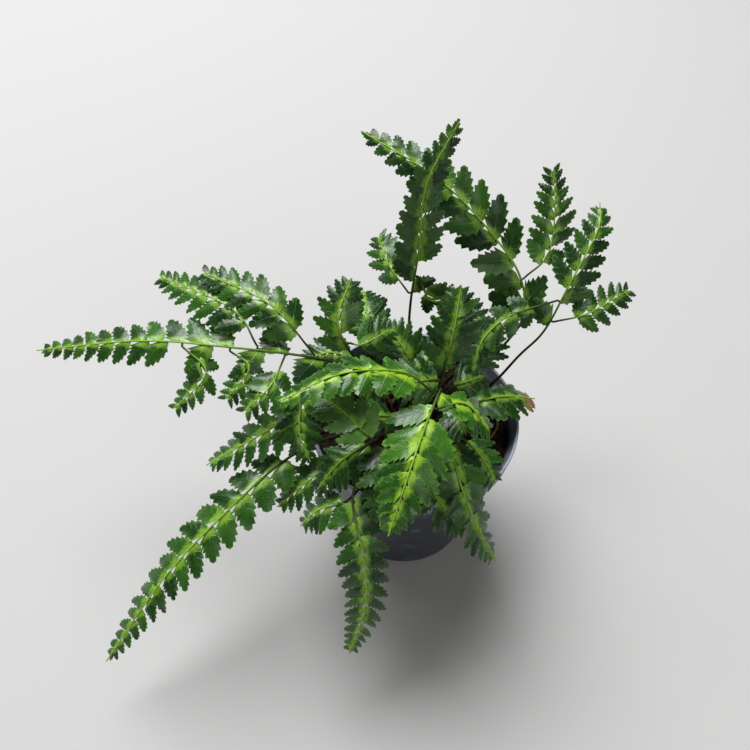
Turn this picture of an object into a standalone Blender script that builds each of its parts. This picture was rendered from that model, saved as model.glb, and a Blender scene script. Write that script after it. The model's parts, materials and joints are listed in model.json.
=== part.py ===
"""Variegated holly fern in a 9 cm nursery pot.

The pot, its compost, the rhizome crown and every frond are separate solids. A frond is one
closed body: a wiry stem, a flat midrib strip, side shoots and leaflets, all drawn out of one
another face by face. Heights of the plant are given above the plane of the pot's rim.
"""

import math
from collections import namedtuple

import bmesh
import bpy
from mathutils import Vector
from mathutils.bvhtree import BVHTree

MM = 0.001

# Pot
RIM_RADIUS = 45.0 * MM
POT_HEIGHT = 82.0 * MM
BASE_RADIUS = 31.5 * MM
POT_WALL = 1.2 * MM
FLOOR_THICKNESS = 1.6 * MM
LIP_HEIGHT = 7.5 * MM
LIP_STEP = 2.2 * MM
POT_STEPS = 40
DRAIN_HOLES = 8
DRAIN_DIAMETER = 5.0 * MM
DRAIN_CIRCLE_SHARE = 0.72

# Compost and crown
COMPOST_BELOW_RIM = 9.0 * MM
COMPOST_ROUGHNESS = 0.9 * MM
COMPOST_STEPS = 28
CROWN_RADIUS = 17.0 * MM
CROWN_HEIGHT = 7.0 * MM
DEAD_STEM_DIAMETER = 1.1 * MM
DEAD_STEM_STEPS = 12
# In millimetres, the third being the height of its underside above the compost.
DEAD_STEM_ROUTE = ((23, -14, 0), (28, -9, 1.5), (33, -5, 0.5), (37, 3, 0), (35, 9, 2))

# Fronds
STEM_DIAMETER = 1.8 * MM
RIB_WIDTH = 3.0 * MM
RIB_HEIGHT = 1.4 * MM
BLADE_THICKNESS = 0.7 * MM
SHOOT_WIDTH = 2.2 * MM
STEM_SEGMENTS = 6

# How the pairs of leaflets crowd towards a tip, and how a leaflet leans from the midrib's
# direction: in degrees at the base, and how much less at the tip.
CROWDING = 0.5
LEAN = 58
LEAN_LOST = 18
LEAFLET_DROOP = 0.12
LEAFLET_ADDED = 1.5 * MM
SHORTEST_LEAFLET = 1.2 * MM
TWO_STEP_LEAFLET = 8.0 * MM
TRIM_STEP = 0.8

# Fits
GAP = 0.3 * MM
LEAF_CLEARANCE = 0.4 * MM

COMPOST_TOP = POT_HEIGHT - COMPOST_BELOW_RIM
CROWN_BASE = COMPOST_TOP + GAP

Shoot = namedtuple("Shoot", "pair points pairs leaflet")
Frond = namedtuple("Frond", "name foot stem blade faces pairs leaflet shoots")

# Each frond in millimetres. foot: where it leaves the crown. stem: what its bare stem passes
# through. blade: what the leafy midrib passes through, tip last. faces: where the upper side
# looks. pairs: pairs of leaflets. leaflet: length of the longest one. A shoot leaves the midrib
# at the given pair and passes through its own points.
FRONDS = (
    Frond(
        "frond_back_sweeping",
        foot=(8, 6),
        stem=((25, 18, 8),),
        blade=((43, 34, 28), (41, 41, 40), (31, 47, 55), (3, 56, 80), (-31, 74, 88)),
        faces=(0.1, -0.7, 0.7),
        pairs=12,
        leaflet=18,
        shoots=(Shoot(1, ((50, 52, 50), (50, 62, 66), (47, 71, 78)), 8, 12),),
    ),
    Frond(
        "frond_right",
        foot=(12, 2),
        stem=((31, 14, 5), (43, 24, 16)),
        blade=((52, 30, 27), (59, 40, 45), (68, 56, 62), (69, 68, 66)),
        faces=(0.2, -0.5, 0.9),
        pairs=8,
        leaflet=14,
        shoots=(
            Shoot(0, ((69, 35, 34), (87, 48, 36)), 6, 11),
            Shoot(1, ((36, 29, 36), (25, 18, 33), (22, 8, 24)), 7, 9),
        ),
    ),
    Frond(
        "frond_back_upright",
        foot=(-2, 11),
        stem=((-5, 19, 20),),
        blade=((-6, 27, 42), (-5, 30, 70), (-5, 34, 98), (4, 42, 120)),
        faces=(0, -1, 0.4),
        pairs=12,
        leaflet=11,
        shoots=(
            Shoot(0, ((-16, 39, 50), (-21, 51, 53)), 5, 10),
            Shoot(1, ((2, 24, 47), (12, 27, 47)), 4, 8),
        ),
    ),
    Frond(
        "frond_left_long",
        foot=(-13, 1),
        stem=((-24, 1, 20),),
        blade=((-37, -1, 35), (-79, -1, 39), (-114, 3, 33), (-160, 7, 16)),
        faces=(0, -0.3, 1),
        pairs=15,
        leaflet=15,
        shoots=(
            Shoot(0, ((-61, 12, 51), (-89, 25, 52)), 8, 14),
            Shoot(1, ((-57, -18, 40), (-66, -27, 34)), 5, 9),
            Shoot(2, ((-76, 11, 48), (-108, 28, 44)), 9, 13),
            Shoot(3, ((-67, -9, 37), (-75, -18, 28)), 5, 8),
            Shoot(5, ((-84, -10, 33), (-96, -19, 20)), 6, 8),
        ),
    ),
    Frond(
        "frond_left_inner",
        foot=(-9, 6),
        stem=((-20, 4, 24),),
        blade=((-29, 1, 40), (-34, 7, 52), (-30, 19, 62)),
        faces=(0, -0.7, 0.7),
        pairs=6,
        leaflet=12,
        shoots=(Shoot(0, ((-24, 0, 46), (-14, 7, 47)), 5, 9),),
    ),
    Frond(
        "frond_front_bright",
        foot=(4, -4),
        stem=((7, -8, 20),),
        blade=((7, -15, 41), (1, -36, 45), (-4, -53, 38), (-9, -68, 22)),
        faces=(0, 0.1, 1),
        pairs=10,
        leaflet=19,
        shoots=(
            Shoot(0, ((-8, -15, 50), (-30, -22, 56), (-51, -31, 49)), 9, 12),
            Shoot(1, ((16, -22, 43), (26, -26, 34)), 5, 11),
        ),
    ),
    Frond(
        "frond_front_left_long",
        foot=(-8, -8),
        stem=((-27, -17, 9),),
        blade=((-49, -31, 10), (-71, -53, 3), (-94, -75, -15), (-117, -100, -45)),
        faces=(0, 0, 1),
        pairs=15,
        leaflet=14,
        shoots=(),
    ),
    Frond(
        "frond_left_low",
        foot=(-11, -6),
        stem=((-28, -12, 15),),
        blade=((-45, -17, 21), (-65, -28, 15), (-83, -34, 3)),
        faces=(0, 0, 1),
        pairs=8,
        leaflet=13,
        shoots=(),
    ),
    Frond(
        "frond_front_hanging",
        foot=(-4, -11),
        stem=((-15, -33, 19),),
        blade=((-23, -50, 18), (-18, -67, 6), (-15, -80, -14), (-20, -92, -38)),
        faces=(0, -0.3, 1),
        pairs=13,
        leaflet=13,
        shoots=(),
    ),
    Frond(
        "frond_front_short",
        foot=(0, -12),
        stem=((-7, -22, 22),),
        blade=((-11, -33, 30), (-11, -49, 26), (-12, -60, 13)),
        faces=(0, 0, 1),
        pairs=6,
        leaflet=13,
        shoots=(),
    ),
    Frond(
        "frond_front_curled",
        foot=(5, -12),
        stem=((6, -29, 19),),
        blade=((5, -43, 20), (11, -50, 15), (22, -54, 4)),
        faces=(0, 0, 1),
        pairs=5,
        leaflet=11,
        shoots=(),
    ),
    Frond(
        "frond_front_right",
        foot=(9, -8),
        stem=((12, -18, 18),),
        blade=((13, -29, 26), (17, -43, 21), (25, -52, 6), (36, -58, -14)),
        faces=(0, 0, 1),
        pairs=9,
        leaflet=14,
        shoots=(),
    ),
    Frond(
        "frond_right_faded",
        foot=(13, -3),
        stem=((19, -2, 8),),
        blade=((24, 0, 12), (36, 4, 13), (51, 9, 6)),
        faces=(0, 0, 1),
        pairs=5,
        leaflet=12,
        shoots=(),
    ),
    Frond(
        "frond_centre_upright",
        foot=(5, 7),
        stem=((8, 4, 16),),
        blade=((9, 2, 32), (11, 8, 50), (12, 19, 62)),
        faces=(0, -0.8, 0.6),
        pairs=7,
        leaflet=13,
        shoots=(),
    ),
    Frond(
        "frond_left_drooping",
        foot=(-13, -3),
        stem=((-30, -8, 25),),
        blade=((-44, -13, 29), (-46, -26, 22), (-41, -34, 12)),
        faces=(0, 0, 1),
        pairs=6,
        leaflet=11,
        shoots=(),
    ),
    Frond(
        "frond_turned_over",
        foot=(-8, -5),
        stem=((-14, -23, 22),),
        blade=((-17, -37, 37), (-29, -29, 42), (-39, -21, 41)),
        faces=(0, 0.5, -1),
        pairs=6,
        leaflet=12,
        shoots=(),
    ),
    Frond(
        "frond_front_left_small",
        foot=(-7, -11),
        stem=((-16, -33, 8),),
        blade=((-25, -48, 9), (-36, -51, 5), (-43, -54, -4)),
        faces=(0, 0, 1),
        pairs=5,
        leaflet=10,
        shoots=(),
    ),
    Frond(
        "frond_centre_back",
        foot=(0, 4),
        stem=((0, 3, 14),),
        blade=((-2, 4, 25), (-8, 9, 35), (-16, 16, 39)),
        faces=(0, -0.5, 1),
        pairs=6,
        leaflet=12,
        shoots=(),
    ),
    Frond(
        "frond_back_low",
        foot=(3, 11),
        stem=((10, 14, 12),),
        blade=((15, 19, 19), (20, 28, 28), (20, 39, 33)),
        faces=(0, -0.5, 1),
        pairs=6,
        leaflet=12,
        shoots=(),
    ),
    Frond(
        "frond_back_left",
        foot=(-7, 10),
        stem=((-14, 14, 18),),
        blade=((-19, 19, 27), (-24, 28, 33), (-26, 40, 32)),
        faces=(0, -0.5, 1),
        pairs=6,
        leaflet=12,
        shoots=(),
    ),
    Frond(
        "frond_centre_left",
        foot=(-4, -8),
        stem=((-11, -19, 13),),
        blade=((-18, -28, 20), (-29, -37, 19), (-37, -44, 9)),
        faces=(0, 0, 1),
        pairs=6,
        leaflet=12,
        shoots=(),
    ),
    Frond(
        "frond_centre_low",
        foot=(-3, 7),
        stem=((-2, 10, 10),),
        blade=((-2, 12, 20), (-8, 13, 27), (-18, 11, 31)),
        faces=(0, -0.5, 1),
        pairs=6,
        leaflet=12,
        shoots=(),
    ),
    Frond(
        "frond_back_right",
        foot=(9, 11),
        stem=((16, 17, 8),),
        blade=((22, 18, 14), (29, 25, 20), (32, 34, 22)),
        faces=(0, -0.4, 1),
        pairs=6,
        leaflet=11,
        shoots=(),
    ),
    Frond(
        "frond_front_left_low",
        foot=(-11, -11),
        stem=((-21, -23, 6),),
        blade=((-30, -31, 9), (-42, -40, 6), (-53, -47, -3)),
        faces=(0, 0, 1),
        pairs=6,
        leaflet=11,
        shoots=(),
    ),
    Frond(
        "frond_left_under",
        foot=(-12, 4),
        stem=((-20, 12, 9),),
        blade=((-28, 16, 14), (-38, 17, 17), (-48, 14, 14)),
        faces=(0, -0.4, 1),
        pairs=6,
        leaflet=11,
        shoots=(),
    ),
    Frond(
        "frond_right_low",
        foot=(11, -6),
        stem=((16, -14, 9),),
        blade=((20, -20, 14), (27, -27, 13), (33, -34, 7)),
        faces=(0, 0, 1),
        pairs=6,
        leaflet=11,
        shoots=(),
    ),
    Frond(
        "frond_right_lowest",
        foot=(8, 3),
        stem=((12, 5, 8),),
        blade=((15, 7, 13), (21, 9, 15), (28, 13, 14)),
        faces=(0, -0.4, 1),
        pairs=5,
        leaflet=11,
        shoots=(),
    ),
    Frond(
        "frond_centre_lowest",
        foot=(3, 2),
        stem=((2, 8, 8),),
        blade=((4, 14, 13), (7, 20, 16), (9, 28, 17)),
        faces=(0, -0.4, 1),
        pairs=5,
        leaflet=11,
        shoots=(),
    ),
    Frond(
        "frond_left_lowest",
        foot=(-6, 1),
        stem=((-9, 0, 9),),
        blade=((-12, -1, 15), (-17, -3, 22), (-22, -6, 26)),
        faces=(0, -0.3, 1),
        pairs=5,
        leaflet=11,
        shoots=(),
    ),
    Frond(
        "frond_front_lowest",
        foot=(-1, -4),
        stem=((-4, -10, 9),),
        blade=((-8, -13, 16), (-17, -17, 23), (-27, -20, 25)),
        faces=(0, -0.2, 1),
        pairs=6,
        leaflet=11,
        shoots=(),
    ),
    Frond(
        "frond_centre_top",
        foot=(8, -2),
        stem=((12, -4, 15),),
        blade=((8, -3, 30), (-4, -6, 32), (-11, -8, 36)),
        faces=(0, -0.5, 1),
        pairs=6,
        leaflet=13,
        shoots=(),
    ),
    Frond(
        "frond_right_inner",
        foot=(3, -9),
        stem=((6, -11, 11),),
        blade=((14, -14, 28), (15, -19, 30), (18, -27, 30)),
        faces=(0, -0.2, 1),
        pairs=5,
        leaflet=12,
        shoots=(),
    ),
    Frond(
        "frond_back_inner",
        foot=(-4, -2),
        stem=((-4, 0, 11),),
        blade=((-1, 1, 28), (4, 9, 31), (9, 16, 27)),
        faces=(0, -0.5, 1),
        pairs=6,
        leaflet=12,
        shoots=(),
    ),
)


def material(name, colour, roughness, metallic=0.0):
    """A Principled material with one colour, given as linear red, green and blue."""
    made = bpy.data.materials.new(name)
    made.use_nodes = True
    shader = made.node_tree.nodes["Principled BSDF"]
    shader.inputs["Base Color"].default_value = (*colour, 1.0)
    shader.inputs["Roughness"].default_value = roughness
    shader.inputs["Metallic"].default_value = metallic
    return made


def clear_scene():
    for obj in list(bpy.data.objects):
        bpy.data.objects.remove(obj, do_unlink=True)


def new_collection(name):
    made = bpy.data.collections.new(name)
    bpy.context.scene.collection.children.link(made)
    return made


def add_mesh(name, mesh, collection, finish):
    obj = bpy.data.objects.new(name, mesh)
    collection.objects.link(obj)
    mesh.materials.append(finish)
    return obj


def turned(name, profile, steps, collection, finish):
    """A solid turned from a closed outline of (radius, height) points, outer side first."""
    mesh = bpy.data.meshes.new(name)
    points = [(radius, 0.0, height) for radius, height in profile]
    edges = [(i, (i + 1) % len(points)) for i in range(len(points)) if not on_axis(profile, i)]
    mesh.from_pydata(points, edges, [])
    obj = add_mesh(name, mesh, collection, finish)
    screw = obj.modifiers.new("turn", "SCREW")
    screw.steps = steps
    screw.render_steps = steps
    screw.use_merge_vertices = True
    screw.merge_threshold = 0.01 * MM
    return obj


def on_axis(profile, index):
    """Whether the outline's stretch from this point to the next runs along the axis."""
    here = profile[index][0]
    following = profile[(index + 1) % len(profile)][0]
    return here == 0.0 and following == 0.0


def wall_radius(height):
    """Outer radius of the tapered wall below the lip, at a height above the table."""
    share = height / (POT_HEIGHT - LIP_HEIGHT)
    return BASE_RADIUS + share * (RIM_RADIUS - LIP_STEP - BASE_RADIUS)


def inner_radius(height):
    return wall_radius(height) - POT_WALL


def make_pot(collection, cutters):
    """A thin tapered pot with a rolled-down lip, a flat base and a ring of drainage holes."""
    finish = material("pot_plastic", (0.10, 0.115, 0.17), 0.5)
    lip_foot = POT_HEIGHT - LIP_HEIGHT
    foot_chamfer = 1.5 * MM
    rim_round = 0.5 * MM
    profile = (
        (RIM_RADIUS - rim_round, POT_HEIGHT),
        (RIM_RADIUS, POT_HEIGHT - rim_round),
        (RIM_RADIUS - rim_round, lip_foot),
        (wall_radius(lip_foot), lip_foot),
        (wall_radius(foot_chamfer), foot_chamfer),
        (wall_radius(0.0) - foot_chamfer, 0.0),
        (0.0, 0.0),
        (0.0, FLOOR_THICKNESS),
        (inner_radius(FLOOR_THICKNESS), FLOOR_THICKNESS),
        (inner_radius(lip_foot), lip_foot),
        (RIM_RADIUS - POT_WALL - rim_round, lip_foot + LIP_STEP),
        (RIM_RADIUS - POT_WALL, POT_HEIGHT - rim_round),
    )
    pot = turned("pot", profile, POT_STEPS, collection, finish)
    circle = DRAIN_CIRCLE_SHARE * BASE_RADIUS
    mesh = bpy.data.meshes.new("drain_cutter")
    drills = bmesh.new()
    for k in range(DRAIN_HOLES):
        turn = 2 * math.pi * (k + 0.5) / DRAIN_HOLES
        drill = bmesh.ops.create_cone(
            drills,
            cap_ends=True,
            segments=10,
            radius1=DRAIN_DIAMETER / 2,
            radius2=DRAIN_DIAMETER / 2,
            depth=3 * FLOOR_THICKNESS,
        )
        centre = Vector((circle * math.cos(turn), circle * math.sin(turn), FLOOR_THICKNESS / 2))
        bmesh.ops.translate(drills, verts=drill["verts"], vec=centre)
    drills.to_mesh(mesh)
    drills.free()
    cutter = bpy.data.objects.new("drain_cutter", mesh)
    cutters.objects.link(cutter)
    cutter.hide_render = True
    cutter.display_type = "WIRE"
    cut = pot.modifiers.new("drainage", "BOOLEAN")
    cut.operation = "DIFFERENCE"
    cut.object = cutter
    pot.data.shade_smooth()
    return pot


def compost_height(x, y):
    """Surface of the compost: small waves that die out under the crown and at the pot's wall."""
    radius = math.hypot(x, y)
    edge = inner_radius(COMPOST_TOP)
    open_ring = (radius - CROWN_RADIUS) * (edge - radius) / (0.25 * (edge - CROWN_RADIUS) ** 2)
    wave = math.sin(x / (4.1 * MM) + 0.7) * math.cos(y / (3.3 * MM)) + 0.5 * math.sin((x - y) / (2.3 * MM))
    return COMPOST_TOP + COMPOST_ROUGHNESS * max(open_ring, 0.0) * wave


def make_compost(collection):
    """A plug of potting compost that fills the pot up to a rough top."""
    finish = material("compost", (0.035, 0.022, 0.015), 0.95)
    low = FLOOR_THICKNESS + GAP
    top_radius = inner_radius(COMPOST_TOP) - GAP
    rings = 4
    span = top_radius - CROWN_RADIUS
    inwards = [(top_radius - span * k / rings, COMPOST_TOP) for k in range(rings, 0, -1)]
    profile = [(top_radius, COMPOST_TOP), (inner_radius(low) - 2 * GAP, low), (0.0, low), (0.0, COMPOST_TOP)]
    profile += inwards
    compost = turned("compost", profile, COMPOST_STEPS, collection, finish)
    bpy.context.view_layer.update()
    mesh = bpy.data.meshes.new_from_object(compost.evaluated_get(bpy.context.evaluated_depsgraph_get()))
    compost.modifiers.clear()
    compost.data = mesh
    for vert in mesh.vertices:
        radius = math.hypot(vert.co.x, vert.co.y)
        if vert.co.z > COMPOST_TOP - GAP and CROWN_RADIUS < radius < top_radius - GAP:
            vert.co.z = compost_height(vert.co.x, vert.co.y)
    return compost


def crown_height(radius):
    """Height of the crown's domed top at a distance from the pot's axis."""
    share = min(radius / CROWN_RADIUS, 1.0)
    return CROWN_BASE + CROWN_HEIGHT * math.sqrt(1.0 - share * share)


def make_crown(collection):
    """The rhizome's crown: half of a flattened ball that lies on the compost."""
    finish = material("crown", (0.09, 0.05, 0.03), 0.85)
    dome = bmesh.new()
    bmesh.ops.create_uvsphere(dome, u_segments=18, v_segments=10, radius=1.0)
    bmesh.ops.scale(dome, vec=(CROWN_RADIUS, CROWN_RADIUS, CROWN_HEIGHT), verts=dome.verts)
    buried = [vert for vert in dome.verts if vert.co.z < -0.01 * MM]
    bmesh.ops.delete(dome, geom=buried, context="VERTS")
    bmesh.ops.holes_fill(dome, edges=dome.edges, sides=0)
    bmesh.ops.translate(dome, verts=dome.verts, vec=(0, 0, CROWN_BASE))
    mesh = bpy.data.meshes.new("crown")
    dome.to_mesh(mesh)
    dome.free()
    return add_mesh("crown", mesh, collection, finish)


def smooth_path(points, steps=24):
    """A smooth line through the points: a Catmull-Rom curve with its ends carried straight on."""
    first = points[0] * 2 - points[1]
    last = points[-1] * 2 - points[-2]
    line = [first, *points, last]
    made = []
    for k in range(1, len(line) - 2):
        before, start, end, after = line[k - 1 : k + 3]
        for step in range(steps):
            t = step / steps
            pull = (end - before) / 2
            push = (after - start) / 2
            bend = 2 * t**3 - 3 * t**2 + 1
            here = start * bend + end * (1 - bend)
            here += pull * (t**3 - 2 * t**2 + t) + push * (t**3 - t**2)
            made.append(here)
    made.append(points[-1].copy())
    return made


def along(line, shares):
    """Points of a line at the given shares of its length."""
    lengths = [0.0]
    for a, b in zip(line, line[1:]):
        lengths.append(lengths[-1] + (b - a).length)
    made = []
    for share in shares:
        wanted = share * lengths[-1]
        k = next((i for i in range(len(line) - 1) if lengths[i + 1] >= wanted), len(line) - 2)
        part = (wanted - lengths[k]) / max(lengths[k + 1] - lengths[k], 1e-9)
        made.append(line[k].lerp(line[k + 1], min(part, 1.0)))
    return made


def directions(stations, upper, leafy_from):
    """Ahead, side and upper-face directions at every station of a line.

    Where the line is leafy its upper face looks the given way. Below that, on the bare stem, the
    side direction is carried down unturned, so that a steep stem doesn't twist.
    """
    last = len(stations) - 1
    aheads = [(stations[min(i + 1, last)] - stations[max(i - 1, 0)]).normalized() for i in range(last + 1)]
    sides = [ahead.cross(upper).normalized() for ahead in aheads]
    for i in range(leafy_from - 1, -1, -1):
        sides[i] = (sides[i + 1] - aheads[i] * sides[i + 1].dot(aheads[i])).normalized()
    return [(ahead, side, side.cross(ahead).normalized()) for ahead, side in zip(aheads, sides)]


def above_rim(point):
    """A point given in millimetres from the middle of the rim's plane, in metres from the table."""
    return Vector(point) * MM + Vector((0, 0, POT_HEIGHT))


def draw_out(body, face, ring):
    """Draws a face out of the body. The new face and ring still lie where the old ones did."""
    made = bmesh.ops.extrude_discrete_faces(body, faces=[face])["faces"][0]
    return made, partners(ring, made)


def partners(ring, face):
    """The corner of the drawn-out face that each corner of the old ring is joined to."""
    corners = set(face.verts)
    joined = ((edge.other_vert(vert) for edge in vert.link_edges) for vert in ring)
    return [next(other for other in others if other in corners) for others in joined]


def wall_between(a, b):
    """The face that two edges of neighbouring rings share."""
    shared = set.intersection(*(set(vert.link_faces) for vert in (*a, *b)))
    return shared.pop()


def place(ring, points):
    for vert, point in zip(ring, points):
        vert.co = point


def rib_section(centre, side, upper, flat):
    """Six points round the midrib: a hexagonal stem at flat 0, a wide flat rib at flat 1."""
    stem = STEM_DIAMETER / 2
    half = stem * 0.87 + flat * (RIB_WIDTH / 2 - stem * 0.87)
    edge = stem / 2 + flat * (BLADE_THICKNESS / 2 - stem / 2)
    ridge = stem + flat * (RIB_HEIGHT / 2 - stem)
    corners = ((half, -edge), (half, edge), (0.0, ridge), (-half, edge), (-half, -edge), (0.0, -ridge))
    return [centre + side * across + upper * up for across, up in corners]


def leafy_shares(pairs):
    """Where the pairs of leaflets start and end along a midrib: closer together at the tip."""
    spread = 1.0 + CROWDING
    return [t * (spread - CROWDING * t) for t in (k / (pairs + 1) for k in range(pairs + 2))]


Bud = namedtuple("Bud", "wall ahead outward upper share leaflet line")


class Growth:
    """A frond while it is being made: its mesh, and the buds that its leaflets grow from."""

    def __init__(self, row):
        self.row = row
        self.body = bmesh.new()
        self.buds = []
        self.upper = Vector(row.faces).normalized()
        self.make_midrib()
        for line, shoot in enumerate(row.shoots, start=1):
            self.make_shoot(line, shoot)

    def make_midrib(self):
        """The stem, round at first, and the flat midrib strip that follows it."""
        row = self.row
        foot_radius = math.hypot(*row.foot) * MM
        ground = crown_height(foot_radius - STEM_DIAMETER / 2) + GAP
        foot = Vector((row.foot[0] * MM, row.foot[1] * MM, ground))
        lead = foot + Vector((0, 0, 5 * MM))
        blade = [above_rim(point) for point in row.blade]
        path = smooth_path([foot, lead, *map(above_rim, row.stem), *blade])
        split = min(range(len(path)), key=lambda i: (path[i] - blade[0]).length)
        bare = along(path[: split + 1], [k / STEM_SEGMENTS for k in range(STEM_SEGMENTS)])
        stations = bare + along(path[split:], leafy_shares(row.pairs))
        circle = bmesh.ops.create_circle(self.body, cap_ends=True, segments=6, radius=STEM_DIAMETER / 2)
        base = circle["verts"][0].link_faces[0]
        ring = list(base.verts)
        frames = directions(stations, self.upper, STEM_SEGMENTS)
        frames[0] = directions([foot, lead], frames[0][2], 0)[0]
        place(ring, rib_section(foot, *frames[0][1:], 0.0))
        raised = bmesh.ops.extrude_face_region(self.body, geom=[base], use_keep_orig=True)["geom"]
        end = next(item for item in raised if isinstance(item, bmesh.types.BMFace))
        following = partners(ring, end)
        self.walls = {}
        for index in range(1, len(stations)):
            if index > 1:
                end, following = draw_out(self.body, end, ring)
            ahead, side, upper = frames[index]
            flat = min(max((index - STEM_SEGMENTS + 1) / 2, 0.0), 1.0)
            if index == len(stations) - 1:
                flat = -0.6
            place(following, rib_section(stations[index], side, upper, flat))
            pair = index - STEM_SEGMENTS - 1
            if 0 <= pair < row.pairs:
                share = pair / row.pairs
                right = wall_between(ring[0:2], following[0:2])
                left = wall_between(ring[3:5], following[3:5])
                raised = {ring[1], ring[3], following[1], following[3]}
                self.walls[pair] = (ahead, right, left, set(following), raised)
                self.buds.append(Bud(right, ahead, side, upper, share, row.leaflet, 0))
                self.buds.append(Bud(left, ahead, -side, upper, share, row.leaflet, 0))
            ring = following

    def make_shoot(self, line, shoot):
        """A side shoot, drawn out of one side of the midrib in place of a leaflet."""
        ahead, right, left, tipward, raised = self.walls[shoot.pair]
        points = [above_rim(point) for point in shoot.points]
        across = right.calc_center_median() - left.calc_center_median()
        middle = (right.calc_center_median() + left.calc_center_median()) / 2
        wall = right if (points[0] - middle).dot(across) > 0 else left
        self.buds = [bud for bud in self.buds if bud.wall is not wall]
        start = wall.calc_center_median()
        path = smooth_path([start, *points])
        stations = along(path, [0.0, *leafy_shares(shoot.pairs)[1:]])
        ring = list(wall.verts)
        lengthwise = [1 if vert in tipward else -1 for vert in ring]
        upright = [1 if vert in raised else -1 for vert in ring]
        turned_side = 1 if (stations[1] - stations[0]).cross(self.upper).dot(ahead) > 0 else -1
        end = wall
        frames = directions(stations, self.upper, 0)
        for index in range(1, len(stations)):
            end, following = draw_out(self.body, end, ring)
            along_shoot, across, up = frames[index]
            half = SHOOT_WIDTH / 2 * (1.0 if index < len(stations) - 1 else 0.3)
            rise = BLADE_THICKNESS / 2
            across = across * turned_side
            corners = zip(lengthwise, upright)
            place(following, [stations[index] + across * half * a + up * rise * u for a, u in corners])
            if 2 <= index <= shoot.pairs + 1:
                share = (index - 2) / shoot.pairs
                for sign in (1, -1):
                    near = [vert for vert, a in zip(ring, lengthwise) if a == sign]
                    far = [vert for vert, a in zip(following, lengthwise) if a == sign]
                    face = wall_between(near, far)
                    outward = across * sign
                    self.buds.append(Bud(face, along_shoot, outward, up, share, shoot.leaflet, line))
            ring = following


def leaflet_length(share, longest):
    """Leaflets are longest a quarter of the way up and shrink towards the tip."""
    rise = min(1.0, 0.75 + share)
    return longest * rise * (1.0 - share) ** 0.75 + LEAFLET_ADDED


def leaflet_rings(bud, length):
    """Rings of a leaflet's corners, from its base outwards, for a given length."""
    base = [vert.co.copy() for vert in bud.wall.verts]
    centre = sum(base, Vector()) / len(base)
    lean = math.radians(LEAN - LEAN_LOST * bud.share)
    heading = bud.ahead * math.cos(lean) + bud.outward * math.sin(lean) - bud.upper * LEAFLET_DROOP
    heading.normalize()
    steps = ((0.55, 0.85), (1.0, 0.25)) if length > TWO_STEP_LEAFLET else ((1.0, 0.4),)
    rings = [base]
    for reach, width in steps:
        middle = centre + heading * length * reach
        rings.append([
            middle + bud.ahead * (corner - centre).dot(bud.ahead) * width
            + bud.upper * (corner - centre).dot(bud.upper)
            for corner in base
        ])
    return rings


def hull_of(rings, start, margin):
    """A closed net round a leaflet from a share of its length on, grown by a margin, for testing."""
    inner = [a.lerp(b, start) for a, b in zip(rings[0], rings[1])]
    nets = [inner, *rings[1:]]
    points = []
    for net in nets:
        centre = sum(net, Vector()) / len(net)
        points += [corner + (corner - centre).normalized() * margin for corner in net]
    tip = (nets[-1][0] - nets[-2][0]).normalized() * margin
    points[-4:] = [point + tip for point in points[-4:]]
    faces = [(0, 1, 2, 3), tuple(range(len(points) - 4, len(points)))]
    for low in range(0, len(points) - 4, 4):
        faces += [(low + k, low + (k + 1) % 4, low + 4 + (k + 1) % 4, low + 4 + k) for k in range(4)]
    return BVHTree.FromPolygons(points, faces)


def grow_leaflets(growths, fixed):
    """Grows every leaflet, shortened where it would meet another frond, the pot or its contents."""
    nets = {growth.row.name: BVHTree.FromBMesh(growth.body) for growth in growths}
    for growth in growths:
        others = [net for name, net in nets.items() if name != growth.row.name] + fixed
        own = {}
        for bud in growth.buds:
            length = leaflet_length(bud.share, bud.leaflet * MM)
            family = [net for line, made in own.items() if line != bud.line for net in made]
            while length > SHORTEST_LEAFLET:
                rings = leaflet_rings(bud, length)
                outer = hull_of(rings, 0.0, LEAF_CLEARANCE)
                inner = hull_of(rings, 0.3, LEAF_CLEARANCE)
                blocked = any(outer.overlap(net) for net in others)
                if not blocked and not any(inner.overlap(net) for net in family + [nets[growth.row.name]]):
                    break
                length *= TRIM_STEP
            else:
                continue
            face, ring = bud.wall, list(bud.wall.verts)
            for points in rings[1:]:
                face, ring = draw_out(growth.body, face, ring)
                place(ring, points)
            own.setdefault(bud.line, []).append(hull_of(rings, 0.0, 0.0))
        nets[growth.row.name] = BVHTree.FromBMesh(growth.body)


def make_fronds(collection, solids):
    """Every frond, each a node of its own, clear of the pot, the compost, the crown and the rest."""
    finish = material("frond_green", (0.03, 0.13, 0.03), 0.4)
    graph = bpy.context.evaluated_depsgraph_get()
    fixed = [BVHTree.FromObject(obj, graph) for obj in solids]
    growths = [Growth(row) for row in FRONDS]
    grow_leaflets(growths, fixed)
    for growth in growths:
        bmesh.ops.recalc_face_normals(growth.body, faces=growth.body.faces)
        if growth.body.calc_volume(signed=True) < 0:
            bmesh.ops.reverse_faces(growth.body, faces=growth.body.faces)
        mesh = bpy.data.meshes.new(growth.row.name)
        growth.body.to_mesh(mesh)
        growth.body.free()
        add_mesh(growth.row.name, mesh, collection, finish)


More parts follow.
